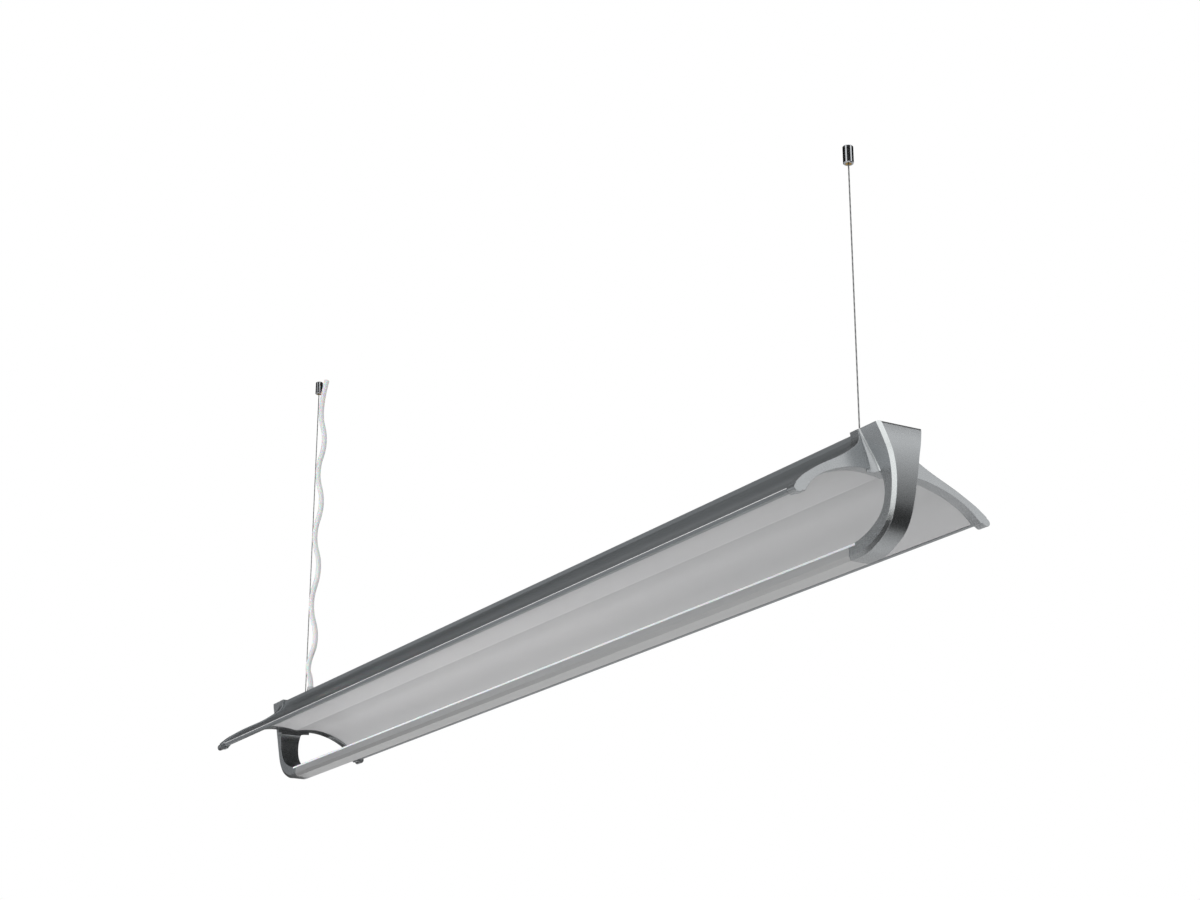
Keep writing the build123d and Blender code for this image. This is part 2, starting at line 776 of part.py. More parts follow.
def wire_stop(wire_x):
    """The crimped stop on the wire's end, under the bush."""
    with BuildPart() as stop:
        with BuildSketch(Plane.XY.offset(spine_top - anchor_shank)):
            with Locations((wire_x, 0)):
                Circle(stop_d / 2)
        extrude(amount=-stop_length)
        chamfer(edges().filter_by(GeomType.CIRCLE).group_by(Axis.Z)[0], length=lens_edge)
    return stop.part


for end, wire_x, hang in (("near", near_wire, near_hang), ("far", 0.0, far_hang)):
    pieces = {
        "ceiling_gripper": gripper(wire_x, hang),
        "gripper_jaw": gripper_jaw(wire_x, hang),
        "suspension_wire": suspension_wire(wire_x, hang),
        "wire_anchor": wire_anchor(wire_x),
        "anchor_bridge": anchor_bridge(wire_x),
        "anchor_nut": anchor_nut(wire_x),
        "wire_stop": wire_stop(wire_x),
    }
    for name, piece in pieces.items():
        piece.label = f"{end}_{name}"
        export_step(piece, f"parts/{end}_{name}.step")

# The cable gland: hexagon, tapered dome and threaded shank, with its nut inside
cable_bore = cable_d / 2 + bore_gap
with BuildPart() as cable_gland:
    with BuildSketch(Plane.XY.offset(spine_top)):
        with Locations((gland_offset, 0)):
            RegularPolygon(gland_hex / 2, 6)
    extrude(amount=gland_hex_h)
    with BuildSketch(Plane.XY.offset(spine_top + gland_hex_h)):
        with Locations((gland_offset, 0)):
            Circle(gland_dome_d / 2)
    extrude(amount=gland_dome_h, taper=8)
    with BuildSketch(Plane.XY.offset(spine_top)):
        with Locations((gland_offset, 0)):
            Circle(gland_shank_d / 2)
    extrude(amount=-anchor_shank)
    with BuildSketch(Plane.XY.offset(spine_top - anchor_shank)):
        with Locations((gland_offset, 0)):
            Circle(cable_bore)
    extrude(amount=anchor_shank + gland_hex_h + gland_dome_h, mode=Mode.SUBTRACT)
cable_gland.part.label = "cable_gland"
export_step(cable_gland.part, "parts/cable_gland.step")

with BuildPart() as gland_nut:
    with BuildSketch(Plane.XY.offset(spine_top - cover_thick)):
        with Locations((gland_offset, 0)):
            RegularPolygon(gland_hex / 2, 6)
            Circle(gland_shank_d / 2 + bore_gap, mode=Mode.SUBTRACT)
    extrude(amount=-gland_nut_h)
gland_nut.part.label = "gland_nut"
export_step(gland_nut.part, "parts/gland_nut.step")

# The cable's tail, through the gland into the channel
gland_top = spine_top + gland_hex_h + gland_dome_h
with BuildPart() as cable_tail:
    with BuildSketch(Plane.XY.offset(gland_top)):
        with Locations((gland_offset, 0)):
            Circle(cable_d / 2)
    extrude(amount=-(gland_top - spine_top + anchor_shank + gland_nut_h))
cable_tail.part.label = "cable_tail"
export_step(cable_tail.part, "parts/cable_tail.step")

# The supply cable: a gentle wave from the gland up to the far gripper's level.
# Each point is a height above the block tops and a sideways offset.
cable_points = [
    (gland_top - block_top, 0.0),
    (gland_top - block_top + 9.0, 0.0),
    (38.0, -6.2),
    (74.0, 6.4),
    (118.0, -7.0),
    (166.0, 6.4),
    (207.0, -6.4),
    (251.0, 6.2),
    (292.0, -5.8),
    (334.0, 6.6),
    (375.8, -5.6),
    (cable_top, 3.4),
]
wave_turn = 58.0            # the wave's plane, in degrees from the lamp's length
wave_x = cos(radians(wave_turn))
wave_y = sin(radians(wave_turn))
route = [
    Vector(gland_offset + offset * wave_x, offset * wave_y, block_top + height)
    for height, offset in cable_points
]


def corner_radii(points):
    """The largest tangent arc that each corner's two runs allow."""
    radii = []
    for before, corner, after in zip(points, points[1:], points[2:]):
        half_turn = radians((corner - before).get_angle(after - corner)) / 2
        shorter = min((corner - before).length, (after - corner).length)
        radii.append(0.45 * shorter / tan(half_turn))
    return radii


cable_radii = corner_radii(route)
print("cable corner radii", [round(radius, 1) for radius in cable_radii])
with BuildPart() as supply_cable:
    with BuildLine():
        cable_path = FilletPolyline(*route, radius=cable_radii)
    with BuildSketch(Plane(origin=route[0], z_dir=route[1] - route[0])):
        Circle(cable_d / 2)
    sweep(path=cable_path)
supply_cable.part.label = "supply_cable"
export_step(supply_cable.part, "parts/supply_cable.step")
section = 3.14159265 * cable_d**2 / 4
print("cable length", round(cable_path.length, 1), "volume ratio", supply_cable.part.volume / section / cable_path.length)
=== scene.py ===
# %% [markdown]
# # A suspended gull-wing pendant lamp
#
# The lamp is a thin metal housing whose two wings reach out like a gull's. A
# slim LED rail hangs under it, held at each end by a cast arm, and shines up on
# two curved reflectors. Two steel wires and one cable carry it. The solids
# come from the imported CAD model. This lesson dresses them: it draws the cords
# as smooth curves and gives each surface the finish of the real product.

# %% Load the frame
import math

import bmesh
import bpy
from mathutils import Matrix, Vector


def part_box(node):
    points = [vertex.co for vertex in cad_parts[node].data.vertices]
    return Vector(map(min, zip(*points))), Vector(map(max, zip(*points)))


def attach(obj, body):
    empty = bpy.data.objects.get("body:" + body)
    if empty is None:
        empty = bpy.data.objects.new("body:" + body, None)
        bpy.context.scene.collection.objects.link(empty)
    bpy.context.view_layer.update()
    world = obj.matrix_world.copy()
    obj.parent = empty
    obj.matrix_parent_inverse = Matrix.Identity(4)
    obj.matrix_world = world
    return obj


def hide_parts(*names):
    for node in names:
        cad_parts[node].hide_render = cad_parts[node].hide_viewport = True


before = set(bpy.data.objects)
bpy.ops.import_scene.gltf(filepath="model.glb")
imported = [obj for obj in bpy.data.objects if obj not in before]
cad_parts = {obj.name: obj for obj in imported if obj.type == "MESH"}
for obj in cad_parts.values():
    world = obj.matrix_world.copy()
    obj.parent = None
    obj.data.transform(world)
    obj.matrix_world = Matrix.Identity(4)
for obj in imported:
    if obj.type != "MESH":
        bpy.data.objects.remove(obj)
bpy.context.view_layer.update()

# %% [markdown]
# ## The camera
#
# The photograph looks up at the lamp from below its near end. The place was
# worked out from the lamp's own straight edges: where its long edges meet, and
# how fast its cross section shrinks along its length.

# %% Camera
camera_data = bpy.data.cameras.new("camera")
camera_data.sensor_width = 36.0
camera_data.lens = 63.76
camera_data.clip_start = 0.01
camera = bpy.data.objects.new("camera", camera_data)
bpy.context.scene.collection.objects.link(camera)
camera.location = (2.4321, -1.0000, -0.9743)
look = Vector((-0.8173, 0.4789, 0.3206))
camera.rotation_euler = look.to_track_quat("-Z", "Y").to_euler()
bpy.context.scene.camera = camera
near_arm = Vector((1.19, 0.0, -0.47))
print("camera stands", round((camera.location - near_arm).length, 2), "m from the near arm")

# %% [markdown]
# ## Colours and nodes
#
# Colours are written as the sRGB hex values that a screen shows. Blender's
# shaders want linear light, so one function turns the one into the other.
# Other functions add a node with its settings and its links, mix two colours,
# stretch a pattern to a range and turn it into bump of a real height, so that
# each material below reads as a short recipe.

# %% Helpers for materials
def linear(hex_code):
    """An sRGB hex colour as linear light, with full alpha."""
    channels = [int(hex_code[start : start + 2], 16) / 255 for start in (1, 3, 5)]
    light = [c / 12.92 if c <= 0.04045 else ((c + 0.055) / 1.055) ** 2.4 for c in channels]
    return light + [1.0]


def add_node(material, kind, links=None, **settings):
    """Adds a node; settings are its attributes, links feed its inputs."""
    node = material.node_tree.nodes.new(kind)
    for name, value in settings.items():
        setattr(node, name, value)
    for name, source in (links or {}).items():
        material.node_tree.links.new(source, node.inputs[name])
    return node


def new_material(name):
    """An empty node material, with its output and its Principled shader."""
    material = bpy.data.materials.new(name)
    material.use_nodes = True
    return material, material.node_tree.nodes["Principled BSDF"]


def object_point(material, stretch=(1.0, 1.0, 1.0)):
    """Object coordinates in metres, stretched along the axes."""
    place = add_node(material, "ShaderNodeTexCoord")
    mapping = add_node(material, "ShaderNodeMapping", {"Vector": place.outputs["Object"]})
    mapping.inputs["Scale"].default_value = stretch
    return mapping.outputs["Vector"]


def two_tone(material, amount, dark, light):
    """A colour between two hexes, led by a pattern."""
    mix = add_node(material, "ShaderNodeMix", data_type="RGBA")
    material.node_tree.links.new(amount, mix.inputs["Factor"])
    mix.inputs[6].default_value = linear(dark)
    mix.inputs[7].default_value = linear(light)
    return mix.outputs[2]


def laid_over(material, mask, base, hex_code):
    """The base colour, and another one where the mask is 1."""
    mix = add_node(material, "ShaderNodeMix", data_type="RGBA")
    material.node_tree.links.new(mask, mix.inputs["Factor"])
    material.node_tree.links.new(base, mix.inputs[6])
    mix.inputs[7].default_value = linear(hex_code)
    return mix.outputs[2]


def maths(material, operation, *values):
    """The result of one Math node over sockets and numbers."""
    node = add_node(material, "ShaderNodeMath", operation=operation)
    for place, value in zip(node.inputs, values):
        if isinstance(value, bpy.types.NodeSocket):
            material.node_tree.links.new(value, place)
        else:
            place.default_value = value
    return node.outputs["Value"]


def spread(material, source, low, high):
    """A pattern's 0 to 1 stretched to the range low to high."""
    node = add_node(material, "ShaderNodeMapRange", {"Value": source})
    node.inputs["To Min"].default_value = low
    node.inputs["To Max"].default_value = high
    return node.outputs["Result"]


def rough_surface(material, shader, source, height_mm, strength=1.0, edge_mm=0.0):
    """Bump of a real height; edge_mm rounds the normals at sharp edges."""
    bump = add_node(material, "ShaderNodeBump", {"Height": source})
    bump.inputs["Strength"].default_value = strength
    bump.inputs["Distance"].default_value = height_mm / 1000
    if edge_mm:
        rounded = add_node(material, "ShaderNodeBevel", samples=6)
        rounded.inputs["Radius"].default_value = edge_mm / 1000
        material.node_tree.links.new(rounded.outputs["Normal"], bump.inputs["Normal"])
    material.node_tree.links.new(bump.outputs["Normal"], shader.inputs["Normal"])


def grain(material, size_mm, stretch=(1.0, 1.0, 1.0), detail=2.0):
    """Noise whose lumps are about size_mm across."""
    noise = add_node(material, "ShaderNodeTexNoise", {"Vector": object_point(material, stretch)})
    noise.inputs["Scale"].default_value = 1000 / size_mm
    noise.inputs["Detail"].default_value = detail
    return noise.outputs["Fac"]


# %% [markdown]
# ## Powder-coated housing
#
# The housing is an aluminium extrusion with a silver powder coat. The powder
# holds so many metal flakes that it mirrors almost like metal, and it dries
# with a faint orange peel of about 1.5 mm. The roughness wanders a little with
# the peel, and a slow mottle over 60 mm keeps the long flank from looking flat.
#
# A bright line of less than a millimetre runs all along the flank, at the
# corner above the lip's outer face. Whether it is bare metal or only a
# highlight can't be told. It is a painted highlight: a pale, hardly metallic
# line laid into the coat's colour; its mask asks for the height of that corner,
# far out from the middle.

# %% Housing finish
BLOCK_TOP = -0.420
LIP_BOTTOM = BLOCK_TOP - 0.0631
LIP_FACE = 0.0036
LIP_INSIDE = 0.0896
LIP_LINE = 0.0009


def silver_powder_coat():
    material, shader = new_material("silver_powder_coat")
    links = material.node_tree.links
    mottle = grain(material, 60)
    peel = grain(material, 1.5)
    coat = two_tone(material, mottle, "#999DA0", "#A3A7A9")
    split = add_node(material, "ShaderNodeSeparateXYZ", {"Vector": object_point(material)})
    # The next lines paint a pale highlight along the lip's corner: its mask, its colour and its low
    # metallic
    at_corner = maths(material, "COMPARE", split.outputs["Z"], LIP_BOTTOM + LIP_FACE, LIP_LINE / 2)
    sideways = maths(material, "ABSOLUTE", split.outputs["Y"])
    on_lip = maths(material, "GREATER_THAN", sideways, LIP_INSIDE)
    lip_highlight = maths(material, "MULTIPLY", at_corner, on_lip)
    links.new(laid_over(material, lip_highlight, coat, "#E8EAEA"), shader.inputs["Base Color"])
    links.new(spread(material, peel, 0.34, 0.42), shader.inputs["Roughness"])
    links.new(spread(material, lip_highlight, 0.92, 0.1), shader.inputs["Metallic"])
    rough_surface(material, shader, peel, 0.03, 0.5, edge_mm=0.5)
    return material


housing_coat = silver_powder_coat()

# %% [markdown]
# ## Matt reflectors
#
# The reflectors are bent sheet with a pale matt coat that spreads the light
# evenly. Coated sheet has almost no gloss, a very fine grit and a slow change
# of tone from the coil it was cut from.

# %% Reflector finish
def matt_reflector_coat():
    material, shader = new_material("matt_reflector_coat")
    links = material.node_tree.links
    drift = grain(material, 180, (0.4, 1.0, 1.0))
    grit = grain(material, 0.8)
    links.new(two_tone(material, drift, "#BCBEBF", "#C6C7C7"), shader.inputs["Base Color"])
    links.new(spread(material, grit, 0.5, 0.62), shader.inputs["Roughness"])
    rough_surface(material, shader, grit, 0.01, 0.4)
    return material


reflector_coat = matt_reflector_coat()

# %% [markdown]
# ## Cast and painted ends
#
# Caps and arms are die castings under a satin silver paint. The paint is
# smoother than powder coat, so it mirrors the room softly: pale where it sees
# the bright studio, dark where it sees the room's dark side.
#
# The chamfers along the arm are bright down to its elbow and dark below. That
# brightness is a painted highlight: a pale colour on the chamfers, and the depth
# where it ends is fitted to the picture. They are taken for edges cut after
# painting; that is a guess, and the depth where the bare metal ends is fitted to
# the picture. Those narrow faces are the only ones that lean halfway between
# sideways and forward, so the mask asks how far the face's own normal points
# along Y. A second painted highlight runs along the seam with the cap. It is 2
# mm wide, placed by its distance ahead of the seam's slanting plane, and ends at
# the opening under the neck. It isn't metallic here, since as a mirror it would
# show a dark card.
#
# Castings have soft edges of about half a millimetre, which a Bevel node adds
# to the normals.

# %% Casting finish
LAMP_MIDDLE_X = 0.57
NEAR_FACE_X = 1.19
SEAM_TOP = 0.0232
SEAM_BOTTOM = 0.0100
OPENING_DEPTH = 0.0376
SEAM_LINE = 0.0020
SEAM_LINE_DEPTH = 0.0372
ELBOW_DEPTH = 0.078
CHAMFER_LEAN = 0.62
CHAMFER_LEAN_RANGE = 0.28
PAINT_METAL = 0.95


def edge_highlight_masks(material):
    """Two masks of the arm: painted highlights on its chamfers and along its seam."""
    place = add_node(material, "ShaderNodeTexCoord")
    split = add_node(material, "ShaderNodeSeparateXYZ", {"Vector": place.outputs["Normal"]})
    sideways = maths(material, "ABSOLUTE", split.outputs["Y"])
    leaning = maths(material, "COMPARE", sideways, CHAMFER_LEAN, CHAMFER_LEAN_RANGE)
    # Both arms share one rule when X is measured out from the lamp's middle
    mapping = add_node(material, "ShaderNodeMapping", {"Vector": place.outputs["Object"]})
    mapping.inputs["Location"].default_value = (-LAMP_MIDDLE_X, 0.0, -BLOCK_TOP)
    mapping.inputs["Scale"].default_value = (1.0, 0.0, 1.0)
    outward = add_node(
        material, "ShaderNodeVectorMath", {"Vector": mapping.outputs["Vector"]}, operation="ABSOLUTE"
    )
    depth = add_node(material, "ShaderNodeSeparateXYZ", {"Vector": outward.outputs["Vector"]})
    above_elbow = maths(material, "LESS_THAN", depth.outputs["Z"], ELBOW_DEPTH)
    chamfer_highlight = maths(material, "MULTIPLY", leaning, above_elbow)
    ahead = add_node(
        material, "ShaderNodeVectorMath", {"Vector": outward.outputs["Vector"]}, operation="DOT_PRODUCT"
    )
    ahead.inputs[1].default_value = (1.0, 0.0, -(SEAM_TOP - SEAM_BOTTOM) / OPENING_DEPTH)
    seam_at = NEAR_FACE_X - SEAM_TOP - LAMP_MIDDLE_X + SEAM_LINE / 2
    at_seam = maths(material, "COMPARE", ahead.outputs["Value"], seam_at, SEAM_LINE / 2)
    above_opening = maths(material, "LESS_THAN", depth.outputs["Z"], SEAM_LINE_DEPTH)
    return chamfer_highlight, maths(material, "MULTIPLY", at_seam, above_opening)


def painted_casting(name, painted_highlights):
    """Silver paint; the flag adds painted highlights on the chamfers and along the seam."""
    material, shader = new_material(name)
    links = material.node_tree.links
    mottle = grain(material, 25)
    flake = grain(material, 0.6)
    paint = two_tone(material, mottle, "#AEB1B3", "#B7BABC")
    shader.inputs["Metallic"].default_value = PAINT_METAL
    if painted_highlights:
        # Painted highlights: a pale colour on the arm's chamfers and along its seam
        chamfer_highlight, seam_highlight = edge_highlight_masks(material)
        edge_highlight = maths(material, "MAXIMUM", chamfer_highlight, seam_highlight)
        paint = laid_over(material, edge_highlight, paint, "#E8ECEC")
        links.new(spread(material, seam_highlight, PAINT_METAL, 0.0), shader.inputs["Metallic"])
    links.new(paint, shader.inputs["Base Color"])
    links.new(spread(material, flake, 0.24, 0.31), shader.inputs["Roughness"])
    rough_surface(material, shader, flake, 0.01, 0.3, edge_mm=0.6)
    return material


# The arm's paint carries the painted highlights; the cap's paint doesn't
arm_paint = painted_casting("painted_die_casting_with_cut_edges", True)
cap_paint = painted_casting("painted_die_casting", False)

# %% [markdown]
# ## Drawn and anodised rail
#
# The LED rail is extruded aluminium. The die leaves fine lines along it, some
# 0.4 mm apart, which the satin anodising softens but doesn't hide. The noise
# is stretched forty times along X, so that it turns into such lines.

# %% Rail finish
def anodised_extrusion():
    material, shader = new_material("anodised_extrusion")
    links = material.node_tree.links
    lines = grain(material, 0.4, (0.025, 1.0, 1.0))
    links.new(two_tone(material, lines, "#CFD0D0", "#D8D9D9"), shader.inputs["Base Color"])
    links.new(spread(material, lines, 0.32, 0.42), shader.inputs["Roughness"])
    shader.inputs["Metallic"].default_value = 0.85
    rough_surface(material, shader, lines, 0.008, 0.5, edge_mm=0.3)
    return material


rail_anodising = anodised_extrusion()

# %% [markdown]
# ## Opal lens
#
# The lens is extruded acrylic with a white diffuser in it. Light enters the
# surface and spreads sideways by a few millimetres, which subsurface
# scattering gives, and its skin is satin with a faint drawn line.

# %% Lens finish
def opal_acrylic():
    material, shader = new_material("opal_acrylic")
    links = material.node_tree.links
    lines = grain(material, 1.2, (0.03, 1.0, 1.0))
    links.new(two_tone(material, lines, "#F8F8F8", "#FFFFFF"), shader.inputs["Base Color"])
    links.new(spread(material, lines, 0.34, 0.42), shader.inputs["Roughness"])
    shader.inputs["Subsurface Weight"].default_value = 0.35
    shader.inputs["Subsurface Scale"].default_value = 0.003
    shader.inputs["IOR"].default_value = 1.49
    rough_surface(material, shader, lines, 0.006, 0.4, edge_mm=0.3)
    return material


lens_acrylic = opal_acrylic()

# %% [markdown]
# ## Small metal
#
# Screws, nuts, bridges and springs are zinc plated: pale, slightly blue or
# yellow, with a fine rolled or tumbled grain. The grippers and wire bushes are
# turned and chrome plated, nearly a mirror. Jaws and wire stops are brass.

# %% Metal finishes
def plated_metal(name, dark, light, grain_mm, rough, stretch=(1.0, 1.0, 1.0)):
    """A plated or turned metal with a fine grain."""
    material, shader = new_material(name)
    links = material.node_tree.links
    pattern = grain(material, grain_mm, stretch)
    links.new(two_tone(material, pattern, dark, light), shader.inputs["Base Color"])
    links.new(spread(material, pattern, rough - 0.05, rough + 0.05), shader.inputs["Roughness"])
    shader.inputs["Metallic"].default_value = 1.0
    rough_surface(material, shader, pattern, 0.004, 0.4, edge_mm=0.15)
    return material


screw_zinc = plated_metal("zinc_plated_screw_steel", "#A9ABAE", "#BCBEC0", 0.7, 0.30)
spring_zinc = plated_metal("zinc_plated_spring_steel", "#A3A39E", "#B6B5AE", 0.5, 0.36, (1.0, 0.1, 1.0))
turned_chrome = plated_metal("turned_chrome", "#C4C7CA", "#D0D3D6", 0.3, 0.10, (0.2, 0.2, 1.0))
turned_brass = plated_metal("turned_brass", "#B08D4B", "#C4A35C", 0.3, 0.25, (0.2, 0.2, 1.0))

# %% [markdown]
# ## Small plastic
#
# The driver case, terminal block and gland are injection moulded. Moulds are
# spark eroded, which leaves a fine matt texture of about 0.5 mm.

# %% Plastic finishes
def moulded_plastic(name, dark, light, texture_mm, rough):
    """An injection-moulded plastic with the mould's spark texture."""
    material, shader = new_material(name)
    links = material.node_tree.links
    pattern = grain(material, texture_mm)
    links.new(two_tone(material, pattern, dark, light), shader.inputs["Base Color"])
    links.new(spread(material, pattern, rough - 0.04, rough + 0.04), shader.inputs["Roughness"])
    rough_surface(material, shader, pattern, 0.02, 0.4, edge_mm=0.2)
    return material


driver_plastic = moulded_plastic("moulded_polycarbonate", "#DCDCD8", "#E4E4E1", 0.5, 0.48)
terminal_plastic = moulded_plastic("moulded_polyamide", "#D8D6CE", "#E2E0D8", 0.5, 0.5)
gland_plastic = moulded_plastic("moulded_gland_polyamide", "#B9BABB", "#C4C5C6", 0.5, 0.42)

# %% [markdown]
# ## LED boards
#
# A board is white solder mask on aluminium. Each LED is a small block with a
# yellow phosphor face. The board's solid holds both, so the colour switches
# with height: above the mask's surface it is phosphor, below it mask.

# %% Board finish
def led_board_finish(mask_top):
    """White solder mask up to mask_top, in metres, and phosphor above it."""
    material, shader = new_material("white_solder_mask_with_leds")
    links = material.node_tree.links
    split = add_node(material, "ShaderNodeSeparateXYZ", {"Vector": object_point(material)})
    on_led = maths(material, "GREATER_THAN", split.outputs["Z"], mask_top)
    grit = grain(material, 0.6)
    mask = two_tone(material, grit, "#E6E6E0", "#EFEFEA")
    links.new(laid_over(material, on_led, mask, "#E8C95A"), shader.inputs["Base Color"])
    shader.inputs["Roughness"].default_value = 0.35
    rough_surface(material, shader, grit, 0.01, 0.3)
    return material


LED_HEIGHT = 0.0007
MASK_MARGIN = 0.0001
led_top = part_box("led_board_1")[1][2]
board_mask = led_board_finish(led_top - LED_HEIGHT + MASK_MARGIN)
print("mask's surface at", round(led_top - LED_HEIGHT, 4))

# %% [markdown]
# ## Wire rope and cable sheath
#
# The wires are 1.2 mm ropes of twisted strands. A wave that climbs slantwise
# gives the strands' shadow. The supply cable has a milky translucent sheath
# over pale cores, so light sinks in and its middle looks fuller than its edge.

# %% Cord finishes
WIRE_DIAMETER = 0.0012
STRAND_PITCH_MM = 1.5
CABLE_DIAMETER = 0.0065


def twisted_wire_rope():
    material, shader = new_material("galvanised_wire_rope")
    links = material.node_tree.links
    strands = add_node(
        material, "ShaderNodeTexWave", {"Vector": object_point(material)}, bands_direction="DIAGONAL"
    )
    strands.inputs["Scale"].default_value = 1000 / (STRAND_PITCH_MM * 2 * math.pi)
    links.new(two_tone(material, strands.outputs["Fac"], "#6F7070", "#9C9D9D"), shader.inputs["Base Color"])
    shader.inputs["Metallic"].default_value = 0.9
    shader.inputs["Roughness"].default_value = 0.4
    return material


def milky_sheath():
    material, shader = new_material("milky_translucent_pvc")
    links = material.node_tree.links
    cloud = grain(material, 9, (1.0, 1.0, 0.35))
    links.new(two_tone(material, cloud, "#DDE0E0", "#E8EBEB"), shader.inputs["Base Color"])
    links.new(spread(material, cloud, 0.26, 0.36), shader.inputs["Roughness"])
    shader.inputs["Subsurface Weight"].default_value = 0.5
    shader.inputs["Subsurface Scale"].default_value = 0.002
    shader.inputs["IOR"].default_value = 1.53
    rough_surface(material, shader, cloud, 0.05, 0.3)
    return material


wire_rope = twisted_wire_rope()
cable_sheath = milky_sheath()

# %% [markdown]
# ## Dress the CAD nodes
#
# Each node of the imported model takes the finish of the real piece.

# %% Give each node its material
finishes = {
    "wing_housing": housing_coat,
    "spine_cover": housing_coat,
    "left_reflector": reflector_coat,
    "right_reflector": reflector_coat,
    "end_cap": cap_paint,
    "end_arm": arm_paint,
    "led_rail": rail_anodising,
    "opal_lens": lens_acrylic,
    "led_board": board_mask,
    "led_driver": driver_plastic,
    "driver_springs": spring_zinc,
    "terminal_block": terminal_plastic,
    "cap_screws": screw_zinc,
    "arm_screws": screw_zinc,
    "rail_screw": screw_zinc,
    "anchor_bridge": spring_zinc,
    "anchor_nut": screw_zinc,
    "wire_anchor": turned_chrome,
    "wire_stop": turned_brass,
    "ceiling_gripper": turned_chrome,
    "gripper_jaw": turned_brass,
    "cable_gland": gland_plastic,
    "gland_nut": gland_plastic,
    "cable_tail": cable_sheath,
    "supply_cable": cable_sheath,
    "suspension_wire": wire_rope,
}
for name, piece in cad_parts.items():
    finish = next(finishes[key] for key in finishes if key in name)
    piece.data.materials.clear()
    piece.data.materials.append(finish)
print(len(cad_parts), "nodes dressed")

# %% [markdown]
# ## Cords
#
# A cord is one smooth NURBS curve with a round bevel. The cable's points are
# the same as the CAD route's: a height above the blocks and a sideways offset
# in the plane of its wave. It was shipped coiled, so it hangs in a gentle
# wave. The two wires are pulled straight by the lamp's weight, from the stop
# under the spine to the jaw in the gripper.

# %% Draw a cord
def cord_curve(name, points, diameter, finish):
    """A smooth round cord through control points."""
    data = bpy.data.curves.new(name, "CURVE")
    data.dimensions = "3D"
    data.bevel_depth = diameter / 2
    data.bevel_resolution = 5
    data.use_fill_caps = True
    spline = data.splines.new("NURBS")
    spline.points.add(len(points) - 1)
    for target, point in zip(spline.points, points):
        target.co = (*point, 1.0)
    spline.order_u = 3
    spline.use_endpoint_u = True
    spline.resolution_u = 10
    data.materials.append(finish)
    cord = bpy.data.objects.new(name, data)
    bpy.context.scene.collection.objects.link(cord)
    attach(cord, "root")
    return cord


# %% The supply cable
GLAND_X = 0.016
wave_turn = math.radians(58)
cable_points = [
    (0.0120, 0.0),
    (0.0210, 0.0),
    (0.0380, -0.0062),
    (0.0740, 0.0064),
    (0.1180, -0.0070),
    (0.1660, 0.0064),
    (0.2070, -0.0064),
    (0.2510, 0.0062),
    (0.2920, -0.0058),
    (0.3340, 0.0066),
    (0.3758, -0.0056),
    (0.4177, 0.0034),
]
cable_route = [
    (GLAND_X + offset * math.cos(wave_turn), offset * math.sin(wave_turn), BLOCK_TOP + height)
    for height, offset in cable_points
]
cable = cord_curve("supply_cable_cord", cable_route, CABLE_DIAMETER, cable_sheath)
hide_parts("supply_cable")

# %% The suspension wires
WIRE_STOP_DEPTH = 0.010
JAW_DEPTH = 0.0087
for end, wire_x, gripper_top in (("far", 0.0, 0.420), ("near", 1.140, 0.265)):
    low = BLOCK_TOP - WIRE_STOP_DEPTH
    high = BLOCK_TOP + gripper_top - JAW_DEPTH
    wire_points = [(wire_x, 0.0, low), (wire_x, 0.0, (low + high) / 2), (wire_x, 0.0, high)]
    wire = cord_curve(f"{end}_wire_rope", wire_points, WIRE_DIAMETER, wire_rope)
    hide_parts(f"{end}_suspension_wire")

# %% [markdown]
# ## The studio
#
# The lamp hangs in a plain pale room. The floor lies below the camera. The
# background is white because the world is white to the camera and to glossy
# rays, while the light on the lamp stays at a plain level.
#
# Metal looks like what it mirrors, so a photographer hangs grey and black
# cards around it, out of view. The cards here glow in their own tone and only
# glossy rays see them. Some are graded: a gradient from black to pale makes the
# soft roll of tone along the cast arm. Two black rings over the lamp, with
# gaps in them, give the grippers their dark sides and white stripes. Places
# and tones were fitted to the photograph from its own view, so from other
# sides the metal shows the same cards less aptly.

# %% World and floor
PLAIN_LIGHT = 0.48
WHITE = 1.0
FLOOR_Z = -1.5
FLOOR_CARD_Z = -1.48
UP = (0.0, 0.0, 1.0)
DOWN = (0.0, 0.0, -1.0)
TO_NEAR_END = (1.0, 0.0, 0.0)
TO_FAR_END = (-1.0, 0.0, 0.0)
TO_FAR_SIDE = (0.0, 1.0, 0.0)
TO_NEAR_SIDE = (0.0, -1.0, 0.0)
NEAR_FLAG_FACING = (-0.75, -0.62, 0.0)
BLACK = "#060606"


def build_world():
    """White to the camera, to mirrors and through glass; a plain light."""
    world = bpy.data.worlds.new("studio")
    bpy.context.scene.world = world
    world.use_nodes = True
    background = world.node_tree.nodes["Background"]
    background.inputs["Color"].default_value = (1.0, 1.0, 1.0, 1.0)
    paths = add_node(world, "ShaderNodeLightPath")
    seen = maths(world, "MAXIMUM", paths.outputs["Is Camera Ray"], paths.outputs["Is Glossy Ray"])
    seen = maths(world, "MAXIMUM", seen, paths.outputs["Is Transmission Ray"])
    strength = spread(world, seen, PLAIN_LIGHT, WHITE)
    world.node_tree.links.new(strength, background.inputs["Strength"])


def stage_piece(name, shape, finish):
    """Turns a finished bmesh into an object of the stage."""
    mesh = bpy.data.meshes.new(name)
    shape.to_mesh(mesh)
    shape.free()
    mesh.materials.append(finish)
    piece = bpy.data.objects.new(name, mesh)
    bpy.context.scene.collection.objects.link(piece)
    return piece


